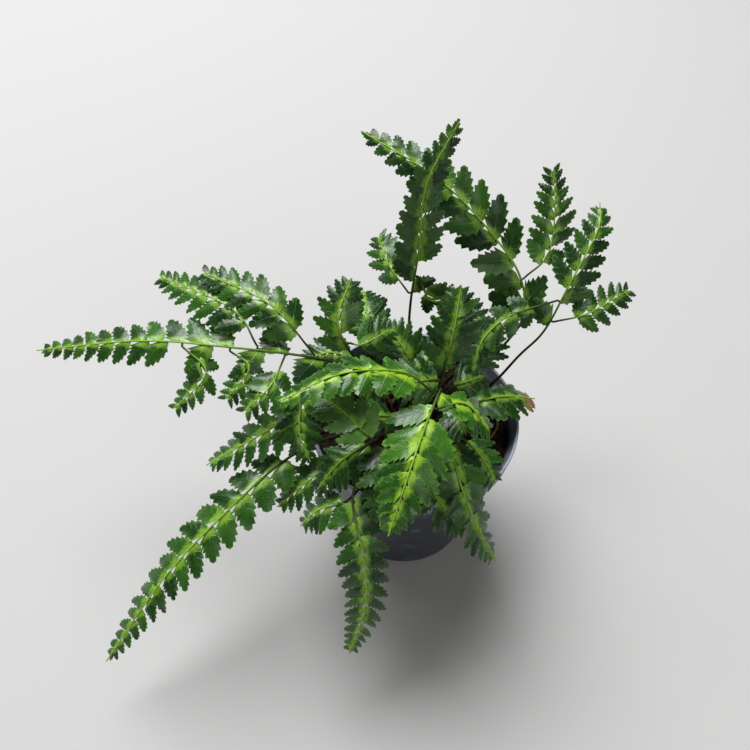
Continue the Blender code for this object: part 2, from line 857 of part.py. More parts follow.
def make_dead_stem(collection):
    """A dried stem from an old frond, lying across the compost on the right."""
    line = bpy.data.curves.new("dead_stem", "CURVE")
    line.dimensions = "3D"
    line.bevel_depth = DEAD_STEM_DIAMETER / 2
    line.bevel_resolution = 1
    line.use_fill_caps = True
    spline = line.splines.new("POLY")
    ends = [Vector(point) * MM for point in DEAD_STEM_ROUTE]
    points = along(smooth_path(ends), [k / DEAD_STEM_STEPS for k in range(DEAD_STEM_STEPS + 1)])
    spline.points.add(len(points) - 1)
    for slot, point in zip(spline.points, points):
        ground = compost_height(point.x, point.y) + DEAD_STEM_DIAMETER / 2 + 2 * GAP
        slot.co = (point.x, point.y, ground + point.z, 1.0)
    stem = bpy.data.objects.new("dead_stem", line)
    collection.objects.link(stem)
    line.materials.append(material("dead_stem", (0.16, 0.09, 0.05), 0.8))
    return stem


def main():
    clear_scene()
    parts = new_collection("potted_holly_fern")
    cutters = new_collection("cutters")
    solids = [make_pot(parts, cutters), make_compost(parts), make_crown(parts), make_dead_stem(parts)]
    bpy.context.view_layer.update()
    make_fronds(parts, solids)


main()
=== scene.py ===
"""A variegated holly fern in a 9 cm nursery pot, finished around its solid model."""

import json
import math

import bmesh
import bpy
import numpy as np
from mathutils import Matrix, Vector

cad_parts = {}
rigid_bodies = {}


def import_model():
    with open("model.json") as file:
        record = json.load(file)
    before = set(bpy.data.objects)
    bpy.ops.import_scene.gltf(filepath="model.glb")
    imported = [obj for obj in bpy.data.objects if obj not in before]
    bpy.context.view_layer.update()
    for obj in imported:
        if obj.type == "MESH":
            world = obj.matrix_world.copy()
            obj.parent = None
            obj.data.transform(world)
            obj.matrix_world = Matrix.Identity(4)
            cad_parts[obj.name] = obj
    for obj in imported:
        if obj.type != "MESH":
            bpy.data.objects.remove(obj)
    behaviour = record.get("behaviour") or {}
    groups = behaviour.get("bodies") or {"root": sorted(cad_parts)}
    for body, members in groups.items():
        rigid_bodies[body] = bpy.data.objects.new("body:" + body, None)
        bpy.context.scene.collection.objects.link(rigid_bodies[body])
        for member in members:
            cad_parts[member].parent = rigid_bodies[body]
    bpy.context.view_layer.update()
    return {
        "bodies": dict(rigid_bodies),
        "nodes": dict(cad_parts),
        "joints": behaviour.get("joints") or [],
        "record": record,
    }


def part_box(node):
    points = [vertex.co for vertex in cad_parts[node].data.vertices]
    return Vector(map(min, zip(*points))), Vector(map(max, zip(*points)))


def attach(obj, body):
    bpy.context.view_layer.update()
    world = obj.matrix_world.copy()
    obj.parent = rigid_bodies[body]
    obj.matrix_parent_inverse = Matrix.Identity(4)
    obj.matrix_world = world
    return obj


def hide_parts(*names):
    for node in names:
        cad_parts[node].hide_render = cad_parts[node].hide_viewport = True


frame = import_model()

MM = 0.001


# ---- Pot ---------------------------------------------------------------------------------
# A thin round nursery pot, moulded in dusty blue-grey polypropylene: a tapered wall, a deep
# turned-down lip and a flat floor with a ring of drainage holes. It stands free on its floor.
# The whole lip band is painted paler than the wall: painted light on the rim, over real dust.

pot_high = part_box("pot")[1]
RIM_RADIUS = pot_high.x
RIM_HEIGHT = pot_high.z
BASE_RADIUS = 31.5 * MM
WALL = 1.2 * MM
FLOOR = 1.6 * MM
LIP_HEIGHT = 7.5 * MM
LIP_STEP = 2.2 * MM
DRAIN_HOLES = 8
DRAIN_RADIUS = 2.5 * MM
DRAIN_CIRCLE = 0.72 * BASE_RADIUS
DRAIN_BAND = 5 * MM


class Wire:
    """One socket of a shader. Sums, differences and products of wires add Math nodes."""

    def __init__(self, tree, socket=None):
        self.tree = tree
        self.socket = socket

    def node(self, kind, settings=None, inputs=None, output=0):
        """Any node: its type, its settings, and the values or wires of its sockets."""
        made = self.tree.nodes.new("ShaderNode" + kind)
        for key, value in (settings or {}).items():
            setattr(made, key, value)
        for key, value in (inputs or {}).items():
            if isinstance(value, Wire):
                self.tree.links.new(value.socket, made.inputs[key])
            else:
                made.inputs[key].default_value = value
        return Wire(self.tree, made.outputs[output])

    def maths(self, operation, first, second):
        return self.node("Math", {"operation": operation}, {0: first, 1: second})

    def __add__(self, other):
        return self.maths("ADD", self, other)

    def __sub__(self, other):
        return self.maths("SUBTRACT", self, other)

    def __mul__(self, other):
        return self.maths("MULTIPLY", self, other)

    def __rsub__(self, other):
        return self.maths("SUBTRACT", other, self)

    __radd__ = __add__
    __rmul__ = __mul__

    def absolute(self):
        return self.maths("ABSOLUTE", self, 0.0)

    def zigzag(self, height):
        """Rises from 0 to this height and falls back again, over and over."""
        return self.maths("PINGPONG", self, height)

    def ramp(self, low, high, smooth=True):
        """0 below low and 1 above high, with a smooth or straight rise between them."""
        kind = "SMOOTHSTEP" if smooth else "LINEAR"
        inputs = {"Value": self, "From Min": low, "From Max": high}
        return self.node("MapRange", {"interpolation_type": kind}, inputs)

    def between(self, first, second):
        """The first colour where this wire is 0 and the second where it is 1."""
        inputs = {0: self, 6: first, 7: second}
        return self.node("Mix", {"data_type": "RGBA"}, inputs, output=2)

    def noise(self, place, scale, detail=3.0, rough=0.55):
        """Cloudy noise from 0 to 1, of this scale per metre."""
        inputs = {"Vector": place, "Scale": scale, "Detail": detail, "Roughness": rough}
        return self.node("TexNoise", {}, inputs)

    def attribute(self, name):
        """A value that the mesh carries at each point."""
        return self.node("Attribute", {"attribute_name": name}, {}, output=2)


def colour(red, green, blue):
    return (red, green, blue, 1.0)


def finish(name, **constants):
    """A new material, its shader, and a loose wire to start expressions from."""
    material = bpy.data.materials.new(name)
    material.use_nodes = True
    shader = material.node_tree.nodes["Principled BSDF"]
    for key, value in constants.items():
        shader.inputs[key.replace("_", " ")].default_value = value
    return material, shader, Wire(material.node_tree)


def feed(shader, start, bump, distance, strength, **wires):
    """Joins wires to the shader's sockets, and a height to its normal through a Bump node."""
    for key, wire in wires.items():
        start.tree.links.new(wire.socket, shader.inputs[key.replace("_", " ")])
    normal = start.node("Bump", {}, {"Height": bump, "Distance": distance, "Strength": strength})
    start.tree.links.new(normal.socket, shader.inputs["Normal"])


def grid_quads(rows, columns, close_columns=False):
    """Corner numbers of the faces of a grid of points, row by row."""
    r = np.arange(rows - 1)[:, None]
    c = np.arange(columns if close_columns else columns - 1)[None, :]
    below, right = r + 1, (c + 1) % columns
    corners = (r * columns + c, r * columns + right, below * columns + right, below * columns + c)
    return np.stack(np.broadcast_arrays(*corners), axis=-1).reshape(-1, 4)


SHARP_EDGE = math.radians(60)


def add_piece(
    name, points, quads, materials, nodes, uv=None, values=None, slots=None, weld=1e-7,
):
    """A smooth mesh of four-cornered faces, which rides on the root and stands for the nodes.

    Points nearer than weld are joined, which closes seams and poles, and edges that turn by more
    than SHARP_EDGE stay crisp.
    """
    mesh = bpy.data.meshes.new(name)
    points = np.asarray(points, np.float32).reshape(-1, 3)
    mesh.vertices.add(len(points))
    mesh.vertices.foreach_set("co", points.ravel())
    mesh.loops.add(4 * len(quads))
    mesh.loops.foreach_set("vertex_index", quads.astype(np.int32).ravel())
    mesh.polygons.add(len(quads))
    mesh.polygons.foreach_set("loop_start", np.arange(0, 4 * len(quads), 4, dtype=np.int32))
    if slots is not None:
        mesh.polygons.foreach_set("material_index", np.asarray(slots, np.int32))
    if uv is not None:
        layer = mesh.uv_layers.new(name="UVMap")
        layer.data.foreach_set("uv", uv.reshape(-1, 2)[quads.ravel()].astype(np.float32).ravel())
    for key, value in (values or {}).items():
        layer = mesh.attributes.new(key, "FLOAT", "POINT")
        layer.data.foreach_set("value", np.asarray(value, np.float32).ravel())
    mesh.update(calc_edges=True)
    joined = bmesh.new()
    joined.from_mesh(mesh)
    bmesh.ops.remove_doubles(joined, verts=joined.verts, dist=weld)
    joined.to_mesh(mesh)
    joined.free()
    mesh.shade_smooth()
    mesh.set_sharp_from_angle(angle=SHARP_EDGE)
    for material in materials:
        mesh.materials.append(material)
    piece = bpy.data.objects.new(name, mesh)
    bpy.context.scene.collection.objects.link(piece)
    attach(piece, "root")
    if nodes:
        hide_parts(*nodes)
    return piece


def rounded(corners, steps=5):
    """A line of (radius, height) points whose corners are eased.

    Each corner comes with how far back its rounding starts; the rounding is the parabola that
    touches both sides there.
    """
    made = []
    t = np.linspace(0, 1, steps)[:, None]
    for k, (point, ease) in enumerate(corners):
        point = np.array(point)
        if ease == 0:
            made.append(point[None])
            continue
        before = np.array(corners[k - 1][0]) - point
        after = np.array(corners[(k + 1) % len(corners)][0]) - point
        start = point + before / np.linalg.norm(before) * ease
        end = point + after / np.linalg.norm(after) * ease
        made.append((1 - t) ** 2 * start + 2 * t * (1 - t) * point + t**2 * end)
    return np.concatenate(made)


def turned(profile, steps):
    """Points of a surface of revolution: each (radius, height) carried round the Z axis."""
    turn = np.linspace(0, 2 * np.pi, steps, endpoint=False)[None, :]
    radius, height = profile[:, 0, None], profile[:, 1, None]
    x, y = radius * np.cos(turn), radius * np.sin(turn)
    return np.stack(np.broadcast_arrays(x, y, height), axis=-1)


def drilled_floor(height, inner, outer, per_side):
    """A flat ring with a round hole in each sector.

    Each sector is a square in angle and radius. Its points lie on straight lines from the
    hole's edge to the sector's border, so neighbouring sectors meet point for point.
    """
    side = np.linspace(-1, 1, per_side, endpoint=False)
    one = np.ones_like(side)
    border = np.concatenate([
        np.stack([one, side], 1),
        np.stack([-side, one], 1),
        np.stack([-one, -side], 1),
        np.stack([side, -one], 1),
    ])
    half_turn = np.pi / DRAIN_HOLES
    radius = (inner + outer) / 2 + border[:, 0] * (outer - inner) / 2
    turn = border[:, 1] * half_turn
    rim = np.stack([radius * np.cos(turn), radius * np.sin(turn)], 1)
    away = rim - np.array([DRAIN_CIRCLE, 0])
    hole = np.array([DRAIN_CIRCLE, 0]) + away / np.linalg.norm(away, axis=1)[:, None] * DRAIN_RADIUS
    share = np.linspace(0, 1, 4)[:, None, None]
    flat = hole + (rim - hole) * share
    sector = (np.arange(DRAIN_HOLES) + 0.5) * 2 * half_turn
    c, s = np.cos(sector)[:, None, None], np.sin(sector)[:, None, None]
    x, y = flat[..., 0][None], flat[..., 1][None]
    return np.stack(np.broadcast_arrays(x * c - y * s, x * s + y * c, height), axis=-1)


def wall_radius(height):
    """Outer radius of the tapered wall: a straight line from the base to the foot of the lip."""
    return BASE_RADIUS + height / (RIM_HEIGHT - LIP_HEIGHT) * (RIM_RADIUS - LIP_STEP - BASE_RADIUS)


PER_SIDE = 12
STEP_HEIGHT = 18 * MM
pot_steps = PER_SIDE * DRAIN_HOLES
lip_foot = RIM_HEIGHT - LIP_HEIGHT
floor_inner, floor_outer = DRAIN_CIRCLE - DRAIN_BAND, DRAIN_CIRCLE + DRAIN_BAND
# Up the outside of the wall, over the lip and down the inside, back to the drilled ring.
outline = rounded([
    ((floor_outer, 0.0), 0),
    ((wall_radius(0) - 1.5 * MM, 0.0), 0.6 * MM),
    ((wall_radius(1.5 * MM), 1.5 * MM), 0.6 * MM),
    ((wall_radius(STEP_HEIGHT), STEP_HEIGHT), 0.4 * MM),
    ((wall_radius(STEP_HEIGHT) + 0.5 * MM, STEP_HEIGHT + 0.8 * MM), 0.4 * MM),
    ((wall_radius(lip_foot), lip_foot), 0.3 * MM),
    ((RIM_RADIUS - 0.8 * MM, lip_foot), 0.35 * MM),
    ((RIM_RADIUS, RIM_HEIGHT), 0.55 * MM),
    ((RIM_RADIUS - WALL, RIM_HEIGHT), 0.4 * MM),
    ((RIM_RADIUS - WALL - 0.6 * MM, lip_foot + LIP_STEP), 0.8 * MM),
    ((wall_radius(lip_foot) - WALL, lip_foot), 0.8 * MM),
    ((wall_radius(FLOOR) - WALL, FLOOR), 1.0 * MM),
    ((floor_outer, FLOOR), 0),
])
under = rounded([((0.0, 0.0), 0), ((floor_inner / 2, 0.0), 0), ((floor_inner, 0.0), 0)])
above = under + np.array([0.0, FLOOR])
shapes = []
for line in (outline, under[::-1], above):
    shapes.append((turned(line, pot_steps), grid_quads(len(line), pot_steps, close_columns=True)))
for level in (0.0, FLOOR):
    shapes.append((drilled_floor(level, floor_inner, floor_outer, PER_SIDE), None))
bores = np.stack([shapes[-2][0][:, 0], shapes[-1][0][:, 0]], axis=1)
shapes.append((bores, None))
# What repeats round the drainage holes has a fourth dimension, and its faces are copied.
points, quads, count = [], [], 0
for place, faces in shapes:
    if faces is None:
        holes, rows, columns = place.shape[:3]
        one = grid_quads(rows, columns, close_columns=True)
        faces = (one[None] + np.arange(holes)[:, None, None] * rows * columns).reshape(-1, 4)
    points.append(place.reshape(-1, 3))
    quads.append(faces + count)
    count += len(points[-1])

pot_finish, shader, start = finish("pot_plastic", IOR=1.46)
place = start.node("TexCoord", {}, {}, output=3)
height = start.node("SeparateXYZ", {}, {0: place}, output=2)
cloud = start.noise(place, 60.0, 5.0, 0.6)
specks = start.noise(place, 900.0, 2.0, 0.7)
scratch_place = start.node("Mapping", {}, {"Vector": place, "Scale": (1.0, 1.0, 0.08)})
scratches = start.noise(scratch_place, 700.0, 3.0, 0.6).ramp(0.62, 0.72)
# Painted light: the lip band, from its foot to near the rim, is painted pale all round as if lit,
# over the dark wall colour; the cloud, specks and scratches are real dust and wear.
lip_painted_light = height.ramp(lip_foot - 1 * MM, RIM_HEIGHT - 3.5 * MM)
dust_and_lip_light = cloud.ramp(0.40, 0.78) * 0.35 + lip_painted_light * 0.70 + specks.ramp(0.55, 0.8) * 0.2
plastic = specks.between(colour(0.022, 0.025, 0.038), colour(0.033, 0.037, 0.056))
# This pale colour stands for real dust and, on the lip, for painted light.
pale_dust_and_lip_light = cloud.between(colour(0.30, 0.335, 0.43), colour(0.42, 0.455, 0.56))
shade = (dust_and_lip_light * 0.9 + scratches * 0.08 - 0.12).ramp(0.0, 0.8, smooth=False)
feed(
    shader, start, bump=cloud * 0.4 + specks * 0.35 + scratches * 0.25, distance=0.12 * MM,
    strength=0.35, Base_Color=shade.between(plastic, pale_dust_and_lip_light), Roughness=dust_and_lip_light * 0.28 + 0.36,
)
pot = add_piece(
    "pot_shell", np.concatenate(points), np.concatenate(quads), [pot_finish],
    ["pot"], weld=0.002 * MM,
)
# The shell was made from strips that run either way, so its faces are turned outwards here.
skin = bmesh.new()
skin.from_mesh(pot.data)
bmesh.ops.recalc_face_normals(skin, faces=skin.faces)
skin.to_mesh(pot.data)
skin.free()


# ---- Compost -----------------------------------------------------------------------------
# A plug of dark, peaty potting compost, pressed into the pot to 9 mm below its rim. The top is
# crumbly, and bark crumbs, root fibres and a few white grains of perlite lie loose on it.

COMPOST_TOP = RIM_HEIGHT - 9 * MM
CROWN_RADIUS = 17 * MM
compost_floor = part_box("compost")[0].z
compost_edge = wall_radius(COMPOST_TOP) - WALL - 0.1 * MM


def waves(x, y, length, height, octaves, seed):
    """Rough ground: in each octave twelve plane waves of random bearing and phase are added.

    Each octave is half as long as the one before and a little more than half as high.
    """
    draw = np.random.default_rng(seed)
    total = np.zeros(np.broadcast(x, y).shape)
    for octave in range(octaves):
        bearing, phase = draw.uniform(0, 2 * np.pi, (2, 12))
        stretch = draw.uniform(0.7, 1.4, 12) * 2 * np.pi * 2**octave / length
        across = x[..., None] * np.cos(bearing) + y[..., None] * np.sin(bearing)
        total += np.sin(across * stretch + phase).sum(-1) * height * 0.6**octave / 4
    return total


def compost_height(x, y):
    """Height of the compost: rough ground that fades out under the crown and at the wall."""
    radius = np.hypot(x, y)
    inside = np.clip((radius - CROWN_RADIUS + 2 * MM) / (5 * MM), 0, 1)
    outside = np.clip((compost_edge - radius) / (4 * MM), 0, 1)
    ground = waves(x, y, 15 * MM, 0.55 * MM, 5, seed=4)
    return COMPOST_TOP + inside * (0.25 + 0.75 * outside) * ground


TOP_RINGS, COMPOST_STEPS = 90, 220
WALL_GAP = 0.4 * MM
top_rings = np.linspace(0, compost_edge, TOP_RINGS)
compost_line = np.concatenate([
    np.stack([top_rings, np.full(TOP_RINGS, COMPOST_TOP)], 1),
    rounded([
        ((compost_edge, COMPOST_TOP - 1 * MM), 0),
        ((wall_radius(FLOOR) - WALL - WALL_GAP, compost_floor), 1 * MM),
        ((0.0, compost_floor), 0),
    ]),
])
points = turned(compost_line, COMPOST_STEPS)
points[:TOP_RINGS, :, 2] = compost_height(points[:TOP_RINGS, :, 0], points[:TOP_RINGS, :, 1])

compost_finish, shader, start = finish("compost", IOR=1.4, Specular_IOR_Level=0.15)
place = start.node("TexCoord", {}, {}, output=3)
grain = start.noise(place, 1100.0, 4.0, 0.65)
clods = start.noise(place, 330.0, 4.0, 0.6)
damp = start.noise(place, 45.0, 2.0, 0.5).ramp(0.4, 0.6)
soil = clods.ramp(0.35, 0.7).between(colour(0.005, 0.003, 0.002), colour(0.027, 0.015, 0.009))
flecks = grain.ramp(0.60, 0.70).between(soil, colour(0.070, 0.042, 0.024))
feed(
    shader, start, bump=grain * 0.6 + clods, distance=1.1 * MM, strength=0.9,
    Base_Color=flecks, Roughness=0.95 - damp * 0.25,
)
quads = grid_quads(len(compost_line), COMPOST_STEPS, close_columns=True)[:, ::-1]
add_piece("compost_plug", points, quads, [compost_finish], ["compost"])


CRUMBS, CRUMB_ROWS, CRUMB_SIDES = 620, 5, 6


def lumps(centres, sizes, flatness, seed):
    """Small stones: each is a coarse ball whose radius is uneven, then flattened.

    A point is centre + size * (1 + unevenness) * (sin a cos b, sin a sin b, flatness cos a).
    """
    draw = np.random.default_rng(seed)
    count = len(centres)
    a = np.linspace(0, np.pi, CRUMB_ROWS)[None, :, None]
    b = (np.arange(CRUMB_SIDES) / CRUMB_SIDES * 2 * np.pi)[None, None, :]
    b = b + draw.uniform(0, 6, (count, 1, 1))
    uneven = 1 + draw.uniform(-0.3, 0.3, (count, CRUMB_ROWS, CRUMB_SIDES)) * np.sin(a)
    uneven[:, 0], uneven[:, -1] = 1, 1
    long_way = draw.uniform(0.7, 1.5, (count, 1, 1))
    ball = np.stack(np.broadcast_arrays(
        np.sin(a) * np.cos(b) * long_way * uneven,
        np.sin(a) * np.sin(b) * uneven,
        flatness * np.cos(a) * uneven,
    ), axis=-1)
    turn = draw.uniform(0, np.pi, (count, 1, 1))
    x, y = ball[..., 0].copy(), ball[..., 1].copy()
    ball[..., 0] = x * np.cos(turn) - y * np.sin(turn)
    ball[..., 1] = x * np.sin(turn) + y * np.cos(turn)
    return centres[:, None, None] + ball * sizes[:, None, None, None]


def copies(quads, per_copy, count):
    """The faces of one small shape, repeated for each of its copies."""
    return (quads[None] + np.arange(count)[:, None, None] * per_copy).reshape(-1, 4)


draw = np.random.default_rng(11)
nearest, farthest = CROWN_RADIUS - 3 * MM, compost_edge - 1.5 * MM
radius = np.sqrt(draw.uniform(nearest**2, farthest**2, CRUMBS))
turn = draw.uniform(0, 2 * np.pi, CRUMBS)
size = np.clip(draw.lognormal(-0.62, 0.42, CRUMBS), 0.25, 1.5) * MM
x, y = radius * np.cos(turn), radius * np.sin(turn)
centres = np.stack([x, y, compost_height(x, y) + size * 0.3], 1)
points = lumps(centres, size, 0.62, seed=12)
tone = draw.uniform(0, 1, CRUMBS)

crumb_finish, shader, start = finish("crumbs", IOR=1.4, Specular_IOR_Level=0.2)
place = start.node("TexCoord", {}, {}, output=3)
grain = start.noise(place, 1500.0, 3.0, 0.6)
shade = start.attribute("tone")
bark = shade.between(colour(0.007, 0.004, 0.003), colour(0.055, 0.029, 0.016))
bark = grain.ramp(0.45, 0.7).between(bark, colour(0.030, 0.018, 0.011))
perlite = shade.ramp(0.975, 0.98).between(bark, colour(0.62, 0.60, 0.55))
feed(
    shader, start, bump=grain, distance=0.4 * MM, strength=0.8,
    Base_Color=perlite, Roughness=0.95 - grain * 0.15,
)
per_crumb = CRUMB_ROWS * CRUMB_SIDES
quads = copies(grid_quads(CRUMB_ROWS, CRUMB_SIDES, close_columns=True), per_crumb, CRUMBS)
add_piece(
    "compost_crumbs", points, quads, [crumb_finish], [],
    values={"tone": np.repeat(tone, per_crumb)},
)


def unit(vectors):
    """The vectors scaled to length 1."""
    return vectors / np.maximum(np.linalg.norm(vectors, axis=-1, keepdims=True), 1e-12)


def tube(line, radius, sides):
    """A round skin over a line: at each of its points a ring of that radius, square to the line.

    The rings start from the direction that the line runs along least, so they don't twist. A
    ring of no size closes each end.
    """
    line = np.concatenate([line[:1], line, line[-1:]])
    radius = np.concatenate([[0], np.broadcast_to(radius, len(line) - 2), [0]])
    ahead = unit(np.gradient(line[1:-1], axis=0))
    ahead = np.concatenate([ahead[:1], ahead, ahead[-1:]])
    level = np.linalg.eigh(ahead.T @ ahead)[1][:, 0]
    side = unit(np.cross(ahead, level))
    upper = np.cross(side, ahead)
    turn = (np.arange(sides) / sides * 2 * np.pi)[None, :, None]
    ring = side[:, None] * np.cos(turn) + upper[:, None] * np.sin(turn)
    return line[:, None] + ring * radius[:, None, None]


FIBRES, FIBRE_STEPS, FIBRE_SIDES = 90, 9, 4
draw = np.random.default_rng(21)
nearest, farthest = CROWN_RADIUS + 2 * MM, compost_edge - 5 * MM
radius = np.sqrt(draw.uniform(nearest**2, farthest**2, FIBRES))
turn, heading, bend = draw.uniform(0, 2 * np.pi, (3, FIBRES))
run = np.linspace(-0.5, 0.5, FIBRE_STEPS) * draw.uniform(3, 9, (FIBRES, 1)) * MM
course = heading[:, None] + np.sin(run / (2.2 * MM) + bend[:, None]) * 0.9
x = (radius * np.cos(turn))[:, None] + run * np.cos(course)
y = (radius * np.sin(turn))[:, None] + run * np.sin(course)
inwards = np.minimum(1, (compost_edge - 1 * MM) / np.hypot(x, y))
x, y = x * inwards, y * inwards
z = compost_height(x, y) + (0.35 + 0.5 * np.abs(np.sin(run / (1.7 * MM) + turn[:, None]))) * MM
routes = np.stack([x, y, z], -1)
strands = [tube(line, draw.uniform(0.05, 0.14) * MM, FIBRE_SIDES) for line in routes]
fibre_finish, shader, start = finish("fibres", IOR=1.4, Specular_IOR_Level=0.2)
place = start.node("TexCoord", {}, {}, output=3)
grain = start.noise(place, 800.0, 2.0, 0.5)
brown = grain.ramp(0.35, 0.65).between(colour(0.028, 0.016, 0.009), colour(0.11, 0.068, 0.038))
feed(
    shader, start, bump=grain, distance=0.2 * MM, strength=0.5,
    Base_Color=brown, Roughness=0.9 - grain * 0.1,
)
rows = FIBRE_STEPS + 2
one = grid_quads(rows, FIBRE_SIDES, close_columns=True)[:, ::-1]
quads = copies(one, rows * FIBRE_SIDES, FIBRES)
add_piece("compost_fibres", np.stack(strands), quads, [fibre_finish], [])


# ---- Crown -------------------------------------------------------------------------------
# The rhizome's crown: a knobbly dome of old stem bases, from which every frond springs. It is
# woody, and clothed in thin, pointed, chestnut-brown scales that grow up and outwards.

CROWN_HEIGHT = 7 * MM
CROWN_BASE = COMPOST_TOP + 0.3 * MM


def crown_height(radius):
    """Height of the dome: half an ellipse over the crown's width."""
    return CROWN_BASE + CROWN_HEIGHT * np.sqrt(1 - np.clip(radius / CROWN_RADIUS, 0, 1) ** 2)


CROWN_RINGS, CROWN_STEPS = 34, 96
slope = np.linspace(0, np.pi / 2, CROWN_RINGS)
dome = np.stack([CROWN_RADIUS * np.sin(slope), CROWN_BASE + CROWN_HEIGHT * np.cos(slope)], 1)
crown_foot = CROWN_BASE - 0.5 * MM
dome = np.concatenate([dome, [(CROWN_RADIUS * 0.5, crown_foot), (0.0, crown_foot)]])
points = turned(dome, CROWN_STEPS)
fade = np.clip(np.cos(slope) * 2, 0, 1)[:, None]
knobs = waves(points[:CROWN_RINGS, :, 0], points[:CROWN_RINGS, :, 1], 9 * MM, 0.7 * MM, 4, seed=7)
points[:CROWN_RINGS, :, 2] += knobs * fade

crown_finish, shader, start = finish("crown", IOR=1.4, Specular_IOR_Level=0.15)
place = start.node("TexCoord", {}, {}, output=3)
grain = start.noise(place, 900.0, 4.0, 0.6)
knots = start.noise(place, 240.0, 3.0, 0.55)
worn = (knots * 0.7 + grain * 0.3).ramp(0.35, 0.65)
feed(
    shader, start, bump=grain * 0.5 + knots, distance=0.9 * MM, strength=0.8,
    Base_Color=worn.between(colour(0.007, 0.004, 0.003), colour(0.040, 0.020, 0.010)),
    Roughness=0.9 - grain * 0.15,
)
quads = grid_quads(len(dome), CROWN_STEPS, close_columns=True)[:, ::-1]
add_piece("crown_dome", points, quads, [crown_finish], ["crown"])

SCALES, SCALE_ROWS, SCALE_SIDES = 420, 5, 4
draw = np.random.default_rng(31)
radius = CROWN_RADIUS * np.sqrt(draw.uniform(0.0, 0.95, SCALES))
turn = draw.uniform(0, 2 * np.pi, SCALES)
out = np.stack([np.cos(turn), np.sin(turn), np.zeros(SCALES)], 1)
sideways = np.stack([-np.sin(turn), np.cos(turn), np.zeros(SCALES)], 1)
rise = draw.uniform(0.5, 1.4, (SCALES, 1))
grow = unit(out * 0.9 + sideways * draw.normal(0, 0.5, (SCALES, 1)) + np.array([0, 0, 1.0]) * rise)
face = unit(np.cross(sideways, grow))
across = np.cross(face, grow)
root = out * radius[:, None]
root[:, 2] = crown_height(radius) - 0.3 * MM
length = draw.uniform(2.0, 5.0, SCALES) * MM
u = np.linspace(0, 1, SCALE_ROWS)[None, :, None, None]
ring = np.array([(-1, 0), (0, 0.35), (1, 0), (0, -0.35)])
width = 0.42 * MM * np.clip(u * 5 + 0.5, 0, 1) * (1 - u**1.5)
curl = draw.normal(0.15, 0.25, (SCALES, 1, 1, 1)) * u**2
points = (
    root[:, None, None] + grow[:, None, None] * length[:, None, None, None] * u
    + across[:, None, None] * ring[None, None, :, :1] * width
    + face[:, None, None] * (ring[None, None, :, 1:] * width + curl * length[:, None, None, None])
)
foot = np.broadcast_to(points[:, :1].mean(2, keepdims=True), points[:, :1].shape)
closed = np.concatenate([foot, points], axis=1)
scale_finish, shader, start = finish("crown_scales", IOR=1.4, Specular_IOR_Level=0.2)
place = start.node("TexCoord", {}, {}, output=3)
grain = start.noise(place, 700.0, 2.0, 0.5)
chestnut = grain.ramp(0.3, 0.7).between(colour(0.026, 0.012, 0.006), colour(0.095, 0.045, 0.020))
feed(
    shader, start, bump=grain, distance=0.2 * MM, strength=0.5,
    Base_Color=chestnut, Roughness=0.62 + grain * 0.2,
)
rows = SCALE_ROWS + 1
one = grid_quads(rows, SCALE_SIDES, close_columns=True)[:, ::-1]
quads = copies(one, rows * SCALE_SIDES, SCALES)
add_piece("crown_scales", closed, quads, [scale_finish], [])


# ---- Dead stem ---------------------------------------------------------------------------
# What is left of an old frond: its dried stem, curled over the compost inside the pot's rim.
# It is brittle and straw-brown, with shreds of dry skin along it.

DEAD_STEM = ((23, -14, 0), (28, -9, 1.5), (33, -5, 0.5), (37, 3, 0), (35, 9, 2))
DEAD_SIDES = 10


def smooth_path(points, steps=24):
    """A Catmull-Rom curve through the points, whose ends are carried straight on.

    Between two points it is the cubic that meets both, with half the step from the point
    before to the point after as its direction at each.
    """
    points = np.asarray(points, float)
    line = np.concatenate([2 * points[:1] - points[1:2], points, 2 * points[-1:] - points[-2:-1]])
    before, begin, end, after = (line[k : k + len(points) - 1, None] for k in range(4))
    t = (np.arange(steps) / steps)[None, :, None]
    bend = 2 * t**3 - 3 * t**2 + 1
    curve = begin * bend + end * (1 - bend) + (end - before) / 2 * (t**3 - 2 * t**2 + t)
    curve = curve + (after - begin) / 2 * (t**3 - t**2)
    return np.concatenate([curve.reshape(-1, 3), points[-1:]])


route = np.array(DEAD_STEM, float) * MM
route[:, 2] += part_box("dead_stem")[0].z + 0.55 * MM
line = smooth_path(route)
share = np.linspace(0, 1, len(line))
radius = (0.62 - 0.28 * share + 0.09 * np.sin(share * 61) * np.sin(share * 23)) * MM
points = tube(line, radius, DEAD_SIDES)
dead_finish, shader, start = finish("dead_stem", IOR=1.4)
place = start.node("TexCoord", {}, {}, output=3)
grain = start.noise(place, 900.0, 4.0, 0.6)
patches = start.noise(place, 160.0, 2.0, 0.5)
bleached = (grain * 0.4 + patches * 0.6).ramp(0.38, 0.62)
feed(
    shader, start, bump=grain, distance=0.4 * MM, strength=0.8,
    Base_Color=bleached.between(colour(0.055, 0.040, 0.014), colour(0.24, 0.19, 0.075)),
    Roughness=0.85 - grain * 0.15,
)
quads = grid_quads(len(line) + 2, DEAD_SIDES, close_columns=True)[:, ::-1]
add_piece("dead_stem_dry", points, quads, [dead_finish], ["dead_stem"])


# ---- Fronds ------------------------------------------------------------------------------
# Each frond grew in one piece: a wiry, dark stem, a midrib, side shoots and two ranks of
# leathery toothed leaflets. They are dark green, with a yellow-green band beside the midrib.

STEM_SEGMENTS = 6
STEM_RADIUS = 0.9 * MM
RIB_HALF = 1.5 * MM
SHOOT_HALF = 1.1 * MM
MIDRIB_RADII = 0.80 * MM, 0.26 * MM
SHOOT_RADII = 0.45 * MM, 0.20 * MM
LEAN, LEAN_LOST = 58, 18  # degrees from the midrib at its base, and how many fewer at its tip
LEAST_LEAFLET = 1.5 * MM
DIP = 0.12  # how much leaflets hang below the plane of their frond
SUNK = 0.15 * MM  # how deep a leaflet starts inside its midrib
SKIN = 0.14 * MM  # from a leaflet's middle layer out to either of its surfaces
BLUNTNESS = 2.3

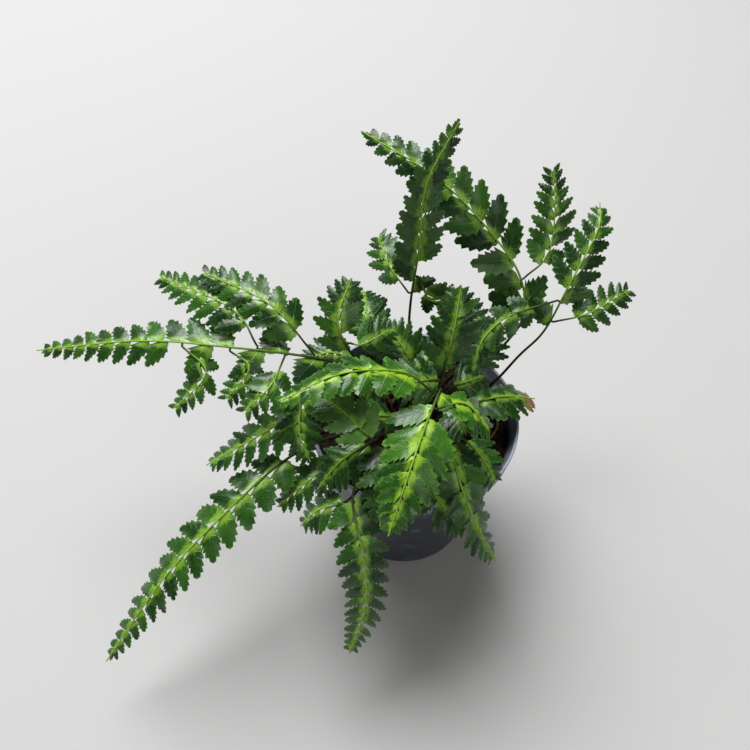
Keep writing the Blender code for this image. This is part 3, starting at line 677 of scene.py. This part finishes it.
# In millimetres, heights above the rim: name, foot on the crown, points of the bare stem and of
# the leafy midrib, where the upper side looks, pairs of leaflets, longest leaflet, and the side
# shoots, each with the pair it takes the place of, its points, pairs and longest leaflet.
FRONDS = (
    ("back_sweeping", (8, 6), ((25, 18, 8),),
     ((43, 34, 28), (41, 41, 40), (31, 47, 55), (3, 56, 80), (-31, 74, 88)),
     (0.1, -0.7, 0.7), 12, 18,
     ((1, ((50, 52, 50), (50, 62, 66), (47, 71, 78)), 8, 12),)),
    ("right", (12, 2), ((31, 14, 5), (43, 24, 16)),
     ((52, 30, 27), (59, 40, 45), (68, 56, 62), (69, 68, 66)), (0.2, -0.5, 0.9), 8, 14,
     ((0, ((69, 35, 34), (87, 48, 36)), 6, 11),
      (1, ((36, 29, 36), (25, 18, 33), (22, 8, 24)), 7, 9))),
    ("back_upright", (-2, 11), ((-5, 19, 20),),
     ((-6, 27, 42), (-5, 30, 70), (-5, 34, 98), (4, 42, 120)), (0, -1, 0.4), 12, 11,
     ((0, ((-16, 39, 50), (-21, 51, 53)), 5, 10),
      (1, ((2, 24, 47), (12, 27, 47)), 4, 8))),
    ("left_long", (-13, 1), ((-24, 1, 20),),
     ((-37, -1, 35), (-79, -1, 39), (-114, 3, 33), (-160, 7, 16)), (0, -0.3, 1), 15, 15,
     ((0, ((-61, 12, 51), (-89, 25, 52)), 8, 14),
      (1, ((-57, -18, 40), (-66, -27, 34)), 5, 9),
      (2, ((-76, 11, 48), (-108, 28, 44)), 9, 13),
      (3, ((-67, -9, 37), (-75, -18, 28)), 5, 8),
      (5, ((-84, -10, 33), (-96, -19, 20)), 6, 8))),
    ("left_inner", (-9, 6), ((-20, 4, 24),),
     ((-29, 1, 40), (-34, 7, 52), (-30, 19, 62)), (0, -0.7, 0.7), 6, 12,
     ((0, ((-24, 0, 46), (-14, 7, 47)), 5, 9),)),
    ("front_bright", (4, -4), ((7, -8, 20),),
     ((7, -15, 41), (1, -36, 45), (-4, -53, 38), (-9, -68, 22)), (0, 0.1, 1), 10, 19,
     ((0, ((-8, -15, 50), (-30, -22, 56), (-51, -31, 49)), 9, 12),
      (1, ((16, -22, 43), (26, -26, 34)), 5, 11))),
    ("front_left_long", (-8, -8), ((-27, -17, 9),),
     ((-49, -31, 10), (-71, -53, 3), (-94, -75, -15), (-117, -100, -45)), (0, 0, 1), 15, 14,
     ()),
    ("left_low", (-11, -6), ((-28, -12, 15),),
     ((-45, -17, 21), (-65, -28, 15), (-83, -34, 3)), (0, 0, 1), 8, 13,
     ()),
    ("front_hanging", (-4, -11), ((-15, -33, 19),),
     ((-23, -50, 18), (-18, -67, 6), (-15, -80, -14), (-20, -92, -38)), (0, -0.3, 1), 13, 13,
     ()),
    ("front_short", (0, -12), ((-7, -22, 22),),
     ((-11, -33, 30), (-11, -49, 26), (-12, -60, 13)), (0, 0, 1), 6, 13,
     ()),
    ("front_curled", (5, -12), ((6, -29, 19),),
     ((5, -43, 20), (11, -50, 15), (22, -54, 4)), (0, 0, 1), 5, 11,
     ()),
    ("front_right", (9, -8), ((12, -18, 18),),
     ((13, -29, 26), (17, -43, 21), (25, -52, 6), (36, -58, -14)), (0, 0, 1), 9, 14,
     ()),
    ("right_faded", (13, -3), ((19, -2, 8),),
     ((24, 0, 12), (36, 4, 13), (51, 9, 6)), (0, 0, 1), 5, 12,
     ()),
    ("centre_upright", (5, 7), ((8, 4, 16),),
     ((9, 2, 32), (11, 8, 50), (12, 19, 62)), (0, -0.8, 0.6), 7, 13,
     ()),
    ("left_drooping", (-13, -3), ((-30, -8, 25),),
     ((-44, -13, 29), (-46, -26, 22), (-41, -34, 12)), (0, 0, 1), 6, 11,
     ()),
    ("turned_over", (-8, -5), ((-14, -23, 22),),
     ((-17, -37, 37), (-29, -29, 42), (-39, -21, 41)), (0, 0.5, -1), 6, 12,
     ()),
    ("front_left_small", (-7, -11), ((-16, -33, 8),),
     ((-25, -48, 9), (-36, -51, 5), (-43, -54, -4)), (0, 0, 1), 5, 10,
     ()),
    ("centre_back", (0, 4), ((0, 3, 14),),
     ((-2, 4, 25), (-8, 9, 35), (-16, 16, 39)), (0, -0.5, 1), 6, 12,
     ()),
    ("back_low", (3, 11), ((10, 14, 12),),
     ((15, 19, 19), (20, 28, 28), (20, 39, 33)), (0, -0.5, 1), 6, 12,
     ()),
    ("back_left", (-7, 10), ((-14, 14, 18),),
     ((-19, 19, 27), (-24, 28, 33), (-26, 40, 32)), (0, -0.5, 1), 6, 12,
     ()),
    ("centre_left", (-4, -8), ((-11, -19, 13),),
     ((-18, -28, 20), (-29, -37, 19), (-37, -44, 9)), (0, 0, 1), 6, 12,
     ()),
    ("centre_low", (-3, 7), ((-2, 10, 10),),
     ((-2, 12, 20), (-8, 13, 27), (-18, 11, 31)), (0, -0.5, 1), 6, 12,
     ()),
    ("back_right", (9, 11), ((16, 17, 8),),
     ((22, 18, 14), (29, 25, 20), (32, 34, 22)), (0, -0.4, 1), 6, 11,
     ()),
    ("front_left_low", (-11, -11), ((-21, -23, 6),),
     ((-30, -31, 9), (-42, -40, 6), (-53, -47, -3)), (0, 0, 1), 6, 11,
     ()),
    ("left_under", (-12, 4), ((-20, 12, 9),),
     ((-28, 16, 14), (-38, 17, 17), (-48, 14, 14)), (0, -0.4, 1), 6, 11,
     ()),
    ("right_low", (11, -6), ((16, -14, 9),),
     ((20, -20, 14), (27, -27, 13), (33, -34, 7)), (0, 0, 1), 6, 11,
     ()),
    ("right_lowest", (8, 3), ((12, 5, 8),),
     ((15, 7, 13), (21, 9, 15), (28, 13, 14)), (0, -0.4, 1), 5, 11,
     ()),
    ("centre_lowest", (3, 2), ((2, 8, 8),),
     ((4, 14, 13), (7, 20, 16), (9, 28, 17)), (0, -0.4, 1), 5, 11,
     ()),
    ("left_lowest", (-6, 1), ((-9, 0, 9),),
     ((-12, -1, 15), (-17, -3, 22), (-22, -6, 26)), (0, -0.3, 1), 5, 11,
     ()),
    ("front_lowest", (-1, -4), ((-4, -10, 9),),
     ((-8, -13, 16), (-17, -17, 23), (-27, -20, 25)), (0, -0.2, 1), 6, 11,
     ()),
    ("centre_top", (8, -2), ((12, -4, 15),),
     ((8, -3, 30), (-4, -6, 32), (-11, -8, 36)), (0, -0.5, 1), 6, 13,
     ()),
    ("right_inner", (3, -9), ((6, -11, 11),),
     ((14, -14, 28), (15, -19, 30), (18, -27, 30)), (0, -0.2, 1), 5, 12,
     ()),
    ("back_inner", (-4, -2), ((-4, 0, 11),),
     ((-1, 1, 28), (4, 9, 31), (9, 16, 27)), (0, -0.5, 1), 6, 12,
     ()),
)


def along(line, shares):
    """The points at these shares of a line's length."""
    steps = np.linalg.norm(np.diff(line, axis=0), axis=1)
    lengths = np.concatenate([[0], np.cumsum(steps)])
    wanted = np.asarray(shares) * lengths[-1]
    return np.stack([np.interp(wanted, lengths, line[:, k]) for k in range(3)], 1)


def leafy_shares(pairs):
    """Where pairs of leaflets start and end along a midrib: t (1.5 - 0.5 t), closer at the tip."""
    t = np.arange(pairs + 2) / (pairs + 1)
    return t * (1.5 - 0.5 * t)


def directions(stations, upper):
    """Ahead, side and upper-side directions at each point of a leafy line."""
    reach = np.concatenate([stations[:1], stations, stations[-1:]])
    ahead = unit(reach[2:] - reach[:-2])
    side = unit(np.cross(ahead, upper))
    return ahead, side, unit(np.cross(side, ahead))


def above_rim(points):
    """Points in millimetres from the middle of the rim's plane, in metres from the floor."""
    return np.atleast_2d(np.asarray(points, float)) * MM + np.array([0, 0, RIM_HEIGHT])


def ranks(stations, frames, first, pairs, half, longest, skip=()):
    """The leaflets of one line, both ranks: where each starts, its directions and its size.

    skip holds (pair, side) of the leaflets that a side shoot takes the place of. The last row is
    the leaflet that ends the line.
    """
    rows = []
    for sign in (1, -1):
        kept = np.array([pair for pair in range(pairs) if (pair, sign) not in skip], int)
        a, b = stations[first + kept], stations[first + kept + 1]
        ahead, side, upper = (frame[first + kept + 1] for frame in frames)
        share = kept / pairs
        taper = np.minimum(1, 0.75 + share) * (1 - share) ** 0.75
        grown = longest * MM * taper + LEAST_LEAFLET
        rows.append((
            (a + b) / 2 + side * sign * half, ahead, side * sign, upper, share, grown,
            np.linalg.norm(b - a, axis=1), np.full(len(kept), sign),
            np.radians(LEAN - LEAN_LOST * share), np.full(len(kept), half - SUNK),
        ))
    ahead, side, upper = (frame[-1:] for frame in frames)
    reach = np.linalg.norm(stations[-1:] - stations[-3:-2], axis=1)
    rows.append((
        stations[-3:-2], unit(stations[-1:] - stations[-3:-2]), side, upper, np.ones(1), reach,
        reach * 0.5, np.ones(1), np.zeros(1), np.zeros(1),
    ))
    return [np.concatenate(column) for column in zip(*rows)]


def as_built(node, start, heading, grown, pitch):
    """How far each leaflet of the solid model reaches, where it was trimmed to stay clear."""
    mesh = frame["nodes"][node].data
    corners = np.empty(len(mesh.vertices) * 3, np.float32)
    mesh.vertices.foreach_get("co", corners)
    reach = corners.reshape(-1, 3)[None] - start[:, None]
    forward = (reach * heading[:, None]).sum(-1)
    aside = np.linalg.norm(reach - forward[..., None] * heading[:, None], axis=-1)
    near = (aside < 0.3 * pitch[:, None] + 0.5 * MM) & (forward < grown[:, None] + 0.3 * MM)
    return np.where(near, forward, 0).max(1)


COLUMNS = 13
UPPER_ROWS = np.array([-1, -0.5, 0, 0.5, 1])
LOWER_ROWS = np.array([-1.0, 0, 1.0])


def leaf_surface(start, ahead, tipward, heading, normal, length, half, looks, rows, lift):
    """One side of every leaflet, as points on a grid of u along the leaflet by v across it.

    A point is start + heading * u * length + across * v * half * outline(u, v) + normal * rise.
    Across turns from the midrib's own direction at the base to square with the heading. The
    outline is (1 - u^blunt)^0.8 over a narrow base, with an ear on the side towards the tip and a
    cut-away on the other side. Every second column is a forward-pointing tooth. The rise is a
    droop, a fold, a ripple and the leaf's own thickness, which fades out at its edge.
    """
    u = np.linspace(0, 1, COLUMNS)[None, :, None]
    v = rows[None, None, :]
    droop, fold, ripple, phase, blunt = (value[:, None, None] for value in looks)
    sign = tipward[:, None, None]
    to_tip = np.clip(v * sign, 0, 1)
    to_base = np.clip(-v * sign, 0, 1)
    stalk = 0.66 + 0.34 * np.clip(u / 0.2, 0, 1)
    envelope = np.clip(1 - u ** blunt, 0, 1) ** 0.8 * stalk
    ear = 1 + to_tip * 0.25 * np.exp(-(((u - 0.20) / 0.13) ** 2))
    cut_away = 1 - to_base * 0.38 * np.exp(-((u / 0.20) ** 2))
    odd = (np.arange(COLUMNS) % 2 == 1)[None, :, None]
    inner = (u > 0.04) & (u < 0.97)
    tooth = np.where(odd, 0.15, -0.09) * np.abs(v) ** 4 * inner
    calmer = np.clip(3.5 * (1 - u), 0, 1)
    forward = np.where(odd, 0.07, -0.01) * np.abs(v) ** 4 * inner * (0.4 + u) * calmer
    width = v * half[:, None, None] * (envelope * ear * cut_away + tooth * np.sqrt(envelope))
    bend = np.clip(1.5 * u, 0, 1)[..., None]
    square = np.cross(normal, heading)
    across = (ahead * tipward[:, None])[:, None, None] * (1 - bend) + square[:, None, None] * bend
    sag = -droop * length[:, None, None] * u**2
    keel = fold * half[:, None, None] * np.abs(v) ** 1.5 * np.sqrt(envelope)
    wave = ripple * half[:, None, None] * np.sin(9 * u + phase + 2 * v) * np.abs(v) * inner
    layer = lift * (1 - v**4) * np.clip(8 * u, 0, 1) * np.clip(8 * (1 - u), 0, 1)
    rise = sag + keel + wave + layer
    step = (u + forward) * length[:, None, None]
    return (
        start[:, None, None] + heading[:, None, None] * step[..., None]
        + across * width[..., None] + normal[:, None, None] * rise[..., None]
    )


LEAST_GROWN = 0.86
ROLL = math.radians(7)
CROWD_EDGE, CROWD_FADE = 65 * MM, 30 * MM


def leaflets(buds, node, draw, blunt_base):
    """Both skins of every leaflet of a frond, and how far each reaches out from its midrib.

    Leaflets that start less than CROWD_EDGE from the plant's middle are the broader ones.
    """
    start, ahead, outward, upper, share, grown, pitch, sign, lean, inset = buds
    lean = lean[:, None]
    heading = unit(ahead * np.cos(lean) + outward * np.sin(lean) - upper * DIP)
    length = np.maximum(as_built(node, start, heading, grown, pitch), LEAST_GROWN * grown)
    count = len(share)
    roll = (ROLL * sign + draw.normal(0, 0.09, count))[:, None]
    normal = unit(upper - heading * (upper * heading).sum(-1, keepdims=True))
    normal = unit(normal * np.cos(roll) + np.cross(heading, normal) * np.sin(roll))
    length = length * draw.uniform(0.95, 1.06, count) + inset
    inwards = (CROWD_EDGE - np.linalg.norm(start[:, :2], axis=1)) / CROWD_FADE
    widest = pitch * (0.50 + 0.12 * np.clip(inwards, 0, 1))
    half = np.minimum(widest, length * 0.45) * draw.uniform(0.95, 1.05, count)
    start = start - outward * inset[:, None] + ahead * (sign * 0.1 * pitch)[:, None]
    droop, fold = draw.uniform(0.0, 0.24, count), draw.normal(-0.08, 0.14, count)
    ripple, phase = draw.uniform(0.04, 0.11, count), draw.uniform(0, 6, count)
    blunt = blunt_base - 0.7 * share + draw.normal(0, 0.12, count)
    looks = (droop, fold, ripple, phase, blunt)
    skin = (start, ahead, sign, heading, normal, length, half, looks)
    top = leaf_surface(*skin, UPPER_ROWS, SKIN)
    bottom = leaf_surface(*skin, LOWER_ROWS, -SKIN)
    return top, bottom, length * np.maximum(np.sin(lean[:, 0]), 0.35)


def leaf_finish(name, deep, bright, band, under):
    """Leathery leaf: green with a yellow-green band by the midrib, sunk veins and pale teeth."""
    made, shader, start = finish(name, IOR=1.42, Coat_Weight=0.18, Coat_Roughness=0.18)
    place = start.node("TexCoord", {}, {}, output=3)
    laid = start.node("TexCoord", {}, {}, output=2)
    u = start.node("SeparateXYZ", {}, {0: laid}, output=0)
    v = start.node("SeparateXYZ", {}, {0: laid}, output=1)
    across = (v - 0.5).absolute() * 2.0
    cloud = start.noise(place, 230.0, 3.0, 0.55)
    fine = start.noise(place, 1300.0, 3.0, 0.6)
    rib, tone = start.attribute("rib"), start.attribute("tone")
    below, fade = start.attribute("below"), start.attribute("fade")
    line = (u * 5.5 - across * 0.85).zigzag(0.5)
    veins = (1 - line.ramp(0.015, 0.10)) * across.ramp(0.05, 0.2)
    midvein = 1 - across.ramp(0.02, 0.09)
    reach = cloud * 1.3 + midvein * (1 - u) * 0.5 + veins * 0.22 + tone * 0.35
    banded = 1 - (rib - reach).ramp(-0.40, 0.45)
    blade = (cloud * 0.55 + tone * 0.55).ramp(0.25, 0.85).between(colour(*deep), colour(*bright))
    blade = (fine.ramp(0.5, 0.8) * 0.35).between(blade, colour(*bright))
    teeth = across.ramp(0.84, 1.0) * 0.35 + u.ramp(0.9, 1.0) * 0.25
    pale = [0.55 * a + 0.45 * b for a, b in zip(bright, band)]
    blade = teeth.between(blade, colour(*pale))
    blade = (veins * 0.22).between(blade, colour(*bright))
    blade = (banded * (0.92 - fine * 0.25)).between(blade, colour(*band))
    withered = (fade * 1.1 + cloud * 0.5 + u * 0.2 - 0.9).ramp(0.0, 0.25)
    blade = withered.between(blade, colour(0.23, 0.135, 0.045))
    shown = (below * 0.85).between(blade, colour(*under))
    feed(
        shader, start, bump=cloud * 0.8 + fine * 0.18 - veins * 0.3 - midvein * 0.4,
        distance=0.42 * MM, strength=0.6,
        Base_Color=shown, Roughness=0.26 + cloud * 0.14 + below * 0.3 + withered * 0.2,
    )
    return made


green = leaf_finish(
    "frond_green", deep=(0.005, 0.033, 0.003), bright=(0.030, 0.110, 0.008),
    band=(0.20, 0.39, 0.03), under=(0.055, 0.15, 0.02),
)
young = leaf_finish(
    "frond_young", deep=(0.010, 0.058, 0.004), bright=(0.038, 0.140, 0.007),
    band=(0.32, 0.56, 0.03), under=(0.09, 0.24, 0.02),
)

wiry, shader, start = finish("frond_stem", IOR=1.35, Specular_IOR_Level=0.25)
place = start.node("TexCoord", {}, {}, output=3)
grain = start.noise(place, 700.0, 3.0, 0.6)
climb = start.attribute("climb")
brown = grain.between(colour(0.010, 0.006, 0.004), colour(0.035, 0.020, 0.012))
olive = grain.between(colour(0.014, 0.020, 0.007), colour(0.034, 0.050, 0.014))
lime = grain.between(colour(0.19, 0.36, 0.04), colour(0.30, 0.50, 0.07))
woody = climb.ramp(0.45, 1.0).between(brown, olive)
feed(
    shader, start, bump=grain, distance=0.2 * MM, strength=0.5,
    Base_Color=climb.ramp(1.0, 1.5).between(woody, lime), Roughness=0.62 + grain * 0.2,
)

top_faces = grid_quads(COLUMNS, len(UPPER_ROWS))
bottom_faces = grid_quads(COLUMNS, len(LOWER_ROWS))[:, ::-1]
STEM_SIDES = 8

# A stem's "climb" runs from 0 at the crown to 1 where the leaflets begin and 2 at the tip.
for number, (name, foot, stem, blade, faces, pairs, longest, shoots) in enumerate(FRONDS):
    node = "frond_" + name
    draw = np.random.default_rng(100 + number)
    upper = unit(np.array(faces, float))
    distance = max(np.hypot(*foot) * MM - STEM_RADIUS, 0)
    base = np.array([foot[0] * MM, foot[1] * MM, crown_height(distance) + 0.3 * MM])
    leafy = above_rim(blade)
    path = smooth_path([base, base + np.array([0, 0, 5 * MM]), *above_rim(stem), *leafy])
    split = np.argmin(np.linalg.norm(path - leafy[0], axis=1))
    stations = np.concatenate([
        along(path[: split + 1], [(STEM_SEGMENTS - 1) / STEM_SEGMENTS]),
        along(path[split:], leafy_shares(pairs)),
    ])
    ahead, side, up = directions(stations, upper)
    lines = [(path, MIDRIB_RADII, 0.0, split / len(path))]
    taken, groups = [], []
    for pair, points, shoot_pairs, shoot_longest in shoots:
        middle = (stations[1 + pair] + stations[2 + pair]) / 2
        route = above_rim(points)
        sign = 1 if (route[0] - middle) @ side[2 + pair] > 0 else -1
        taken.append((pair, sign))
        wall = middle + side[2 + pair] * sign * RIB_HALF
        twig = smooth_path([wall, *route])
        places = along(twig, np.concatenate([[0.0], leafy_shares(shoot_pairs)[1:]]))
        frames = directions(places, upper)
        groups.append(ranks(places, frames, 1, shoot_pairs, SHOOT_HALF, shoot_longest))
        line = np.concatenate([[middle], twig])
        lines.append((line, SHOOT_RADII, 0.9 + 0.4 * pair / pairs, 0.0))
    groups.append(ranks(stations, (ahead, side, up), 1, pairs, RIB_HALF, longest, taken))
    buds = [np.concatenate(column) for column in zip(*groups)]
    top, bottom, reach = leaflets(buds, node, draw, BLUNTNESS)
    count = len(reach)
    u = np.linspace(0, 1, COLUMNS)[None, :, None]
    band_width = np.clip(0.24 * reach, 0.9 * MM, 2.7 * MM)
    away = u * (reach / band_width)[:, None, None]
    share_along = buds[4][:, None, None]
    tone = draw.uniform(0, 1, count)
    points, quads, slots, uv, total = [], [], [], [], 0
    values = {key: [] for key in ("rib", "tone", "below", "fade", "climb")}
    for surface, faces_of, rows, is_below in (
        (top, top_faces, UPPER_ROWS, 0.0), (bottom, bottom_faces, LOWER_ROWS, 1.0),
    ):
        shape = surface.shape[:3]
        per_leaflet = shape[1] * shape[2]
        points.append(surface.reshape(-1, 3))
        quads.append(copies(faces_of, per_leaflet, count) + total)
        total += len(points[-1])
        flat = np.ones(shape)
        uv.append(np.stack([flat * u, flat * (rows * 0.5 + 0.5)], -1).reshape(-1, 2))
        values["rib"].append((flat * away).ravel())
        values["tone"].append((flat * tone[:, None, None]).ravel())
        values["below"].append((flat * is_below).ravel())
        values["fade"].append((flat * (name == "right_faded") * share_along).ravel())
        values["climb"].append(flat.ravel())
        slots.append(np.zeros(len(quads[-1])))
    for line, (thick, thin), low, bare in lines:
        share = np.linspace(0, 1, len(line))
        skin = tube(line, thick + (thin - thick) * share, STEM_SIDES)
        points.append(skin.reshape(-1, 3))
        quads.append(grid_quads(len(line) + 2, STEM_SIDES, close_columns=True)[:, ::-1] + total)
        total += len(points[-1])
        if bare:
            climb = np.where(share < bare, share / bare, 1 + (share - bare) / (1 - bare))
        else:
            climb = low + 1.1 * share
        climb = np.repeat(np.concatenate([climb[:1], climb, climb[-1:]]), STEM_SIDES)
        around = np.tile(np.arange(STEM_SIDES) / STEM_SIDES, len(line) + 2)
        uv.append(np.stack([climb / 2, around], -1))
        for key in ("rib", "tone", "below", "fade"):
            values[key].append(np.zeros(len(climb)))
        values["climb"].append(climb)
        slots.append(np.ones(len(quads[-1])))
    bright = name == "front_bright"
    add_piece(
        node + "_leaves", np.concatenate(points), np.concatenate(quads),
        [young if bright else green, wiry], [node],
        uv=np.concatenate(uv), slots=np.concatenate(slots),
        values={key: np.concatenate(value) for key, value in values.items()},
    )


# ---- Floor, light and camera ---------------------------------------------------------------
# A plain pale floor, one large soft lamp overhead and a weaker one in front, and a pale world.

SPAN = 3.0
corners = [(-SPAN, -SPAN, 0), (SPAN, -SPAN, 0), (SPAN, SPAN, 0), (-SPAN, SPAN, 0)]
floor_mesh = bpy.data.meshes.new("floor")
floor_mesh.from_pydata(corners, [], [(0, 1, 2, 3)])
pale, shader, start = finish("floor_pale", Roughness=0.9)
shader.inputs["Base Color"].default_value = colour(0.50, 0.497, 0.49)
floor_mesh.materials.append(pale)
floor = bpy.data.objects.new("floor", floor_mesh)
bpy.context.scene.collection.objects.link(floor)


def lamp(name, place, aim, size, power, tint):
    """A square soft lamp that looks at a point."""
    light = bpy.data.lights.new(name, "AREA")
    light.size, light.energy, light.color = size, power, tint
    obj = bpy.data.objects.new(name, light)
    obj.location = place
    obj.rotation_euler = (Vector(aim) - Vector(place)).to_track_quat("-Z", "Y").to_euler()
    bpy.context.scene.collection.objects.link(obj)


RIM_MIDDLE = (0, 0, 0.08)
lamp(
    "key", place=(-0.55, 0.80, 1.75), aim=RIM_MIDDLE, size=1.4, power=66.0,
    tint=(0.985, 0.99, 1.0),
)
lamp(
    "front", place=(0.6, -1.1, 1.1), aim=RIM_MIDDLE, size=1.0, power=5.0,
    tint=(1.0, 0.985, 0.96),
)

world = bpy.data.worlds.new("world")
world.use_nodes = True
glow = world.node_tree.nodes["Background"]
glow.inputs["Color"].default_value = colour(0.86, 0.88, 0.90)
glow.inputs["Strength"].default_value = 0.09
bpy.context.scene.world = world
bpy.context.scene.view_settings.view_transform = "Standard"

LOOKING_DOWN, ROLLED = math.radians(53.8), math.radians(4.4)
EYE = (-0.0182, -0.2025, 0.3852)
camera = bpy.data.cameras.new("camera")
camera.sensor_width, camera.lens = 36.0, 40.8
eye = bpy.data.objects.new("camera", camera)
turn = Matrix.Rotation(math.pi / 2 - LOOKING_DOWN, 4, "X") @ Matrix.Rotation(ROLLED, 4, "Z")
eye.matrix_world = Matrix.Translation(EYE) @ turn
bpy.context.scene.collection.objects.link(eye)
bpy.context.scene.camera = eye
